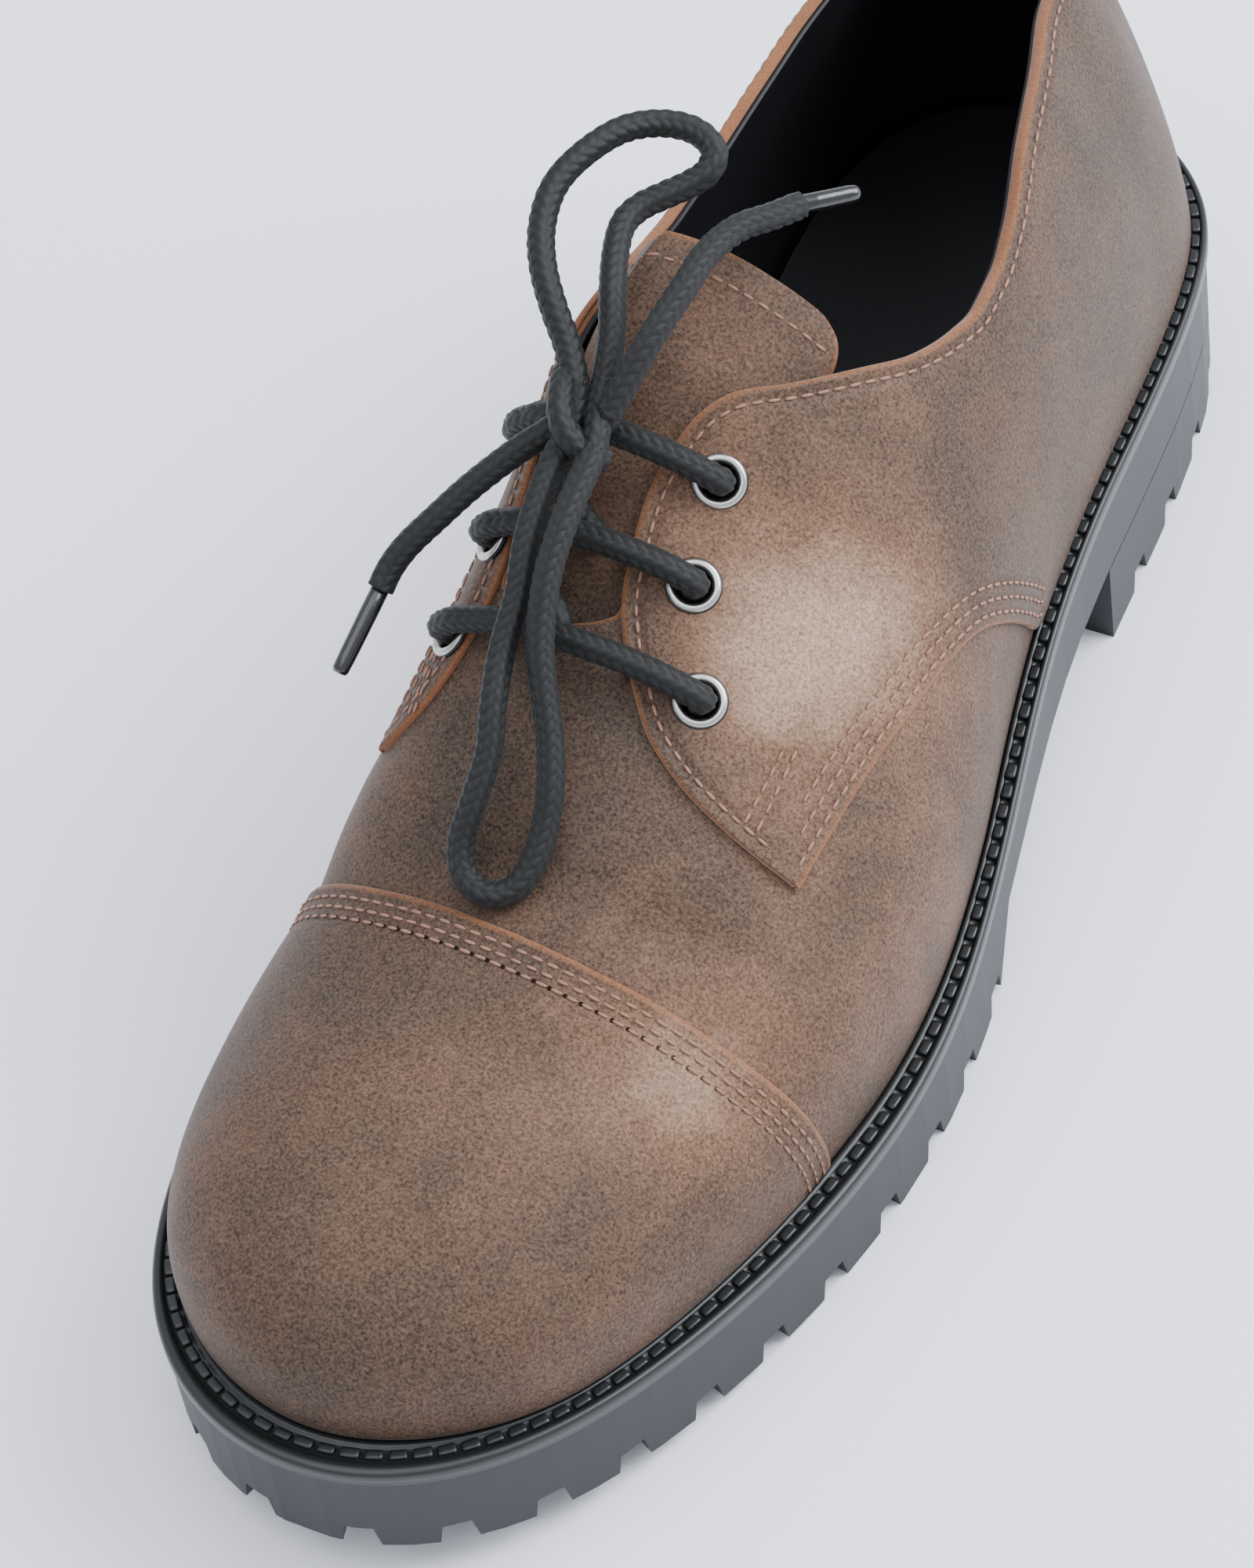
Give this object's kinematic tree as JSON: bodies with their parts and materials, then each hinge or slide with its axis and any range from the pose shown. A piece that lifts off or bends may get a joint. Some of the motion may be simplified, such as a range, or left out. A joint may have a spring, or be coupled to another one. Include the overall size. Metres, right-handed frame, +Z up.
{
  "type": "shoe",
  "caption": "Left lace-up derby shoe in brown nubuck with a stitched toe cap, open lacing, tied round laces and a lugged black rubber sole.",
  "frame": {"origin": "on the floor under the middle of the shoe without its free laces, halfway along and across the sole", "axes": "+Y from the toe to the heel, +X to the shoe's outer (lateral) side, +Z up"},
  "size_m": [0.107, 0.3032, 0.1274],
  "materials": {
    "sole_rubber": "matte",
    "welt_rubber": "semi-gloss",
    "insole_leather": "matte",
    "nubuck": "napped",
    "eyelet_metal": "polished",
    "lace_cord": "braided",
    "aglet_film": "gloss"
  },
  "bodies": {
    "root": {"outsole": "sole_rubber", "heel": "sole_rubber", "welt": "welt_rubber", "insole": "insole_leather", "upper": "nubuck", "tongue": "nubuck", "eyelet_lateral_1": "eyelet_metal", "eyelet_lateral_2": "eyelet_metal", "eyelet_lateral_3": "eyelet_metal", "eyelet_medial_1": "eyelet_metal", "eyelet_medial_2": "eyelet_metal", "eyelet_medial_3": "eyelet_metal", "laces": "lace_cord", "lace_knot": "lace_cord", "lace_loop_front": "lace_cord", "lace_loop_back": "lace_cord", "lace_end_left": "lace_cord", "lace_end_right": "lace_cord", "aglet_left": "aglet_film", "aglet_right": "aglet_film"}
  },
  "joints": []
}
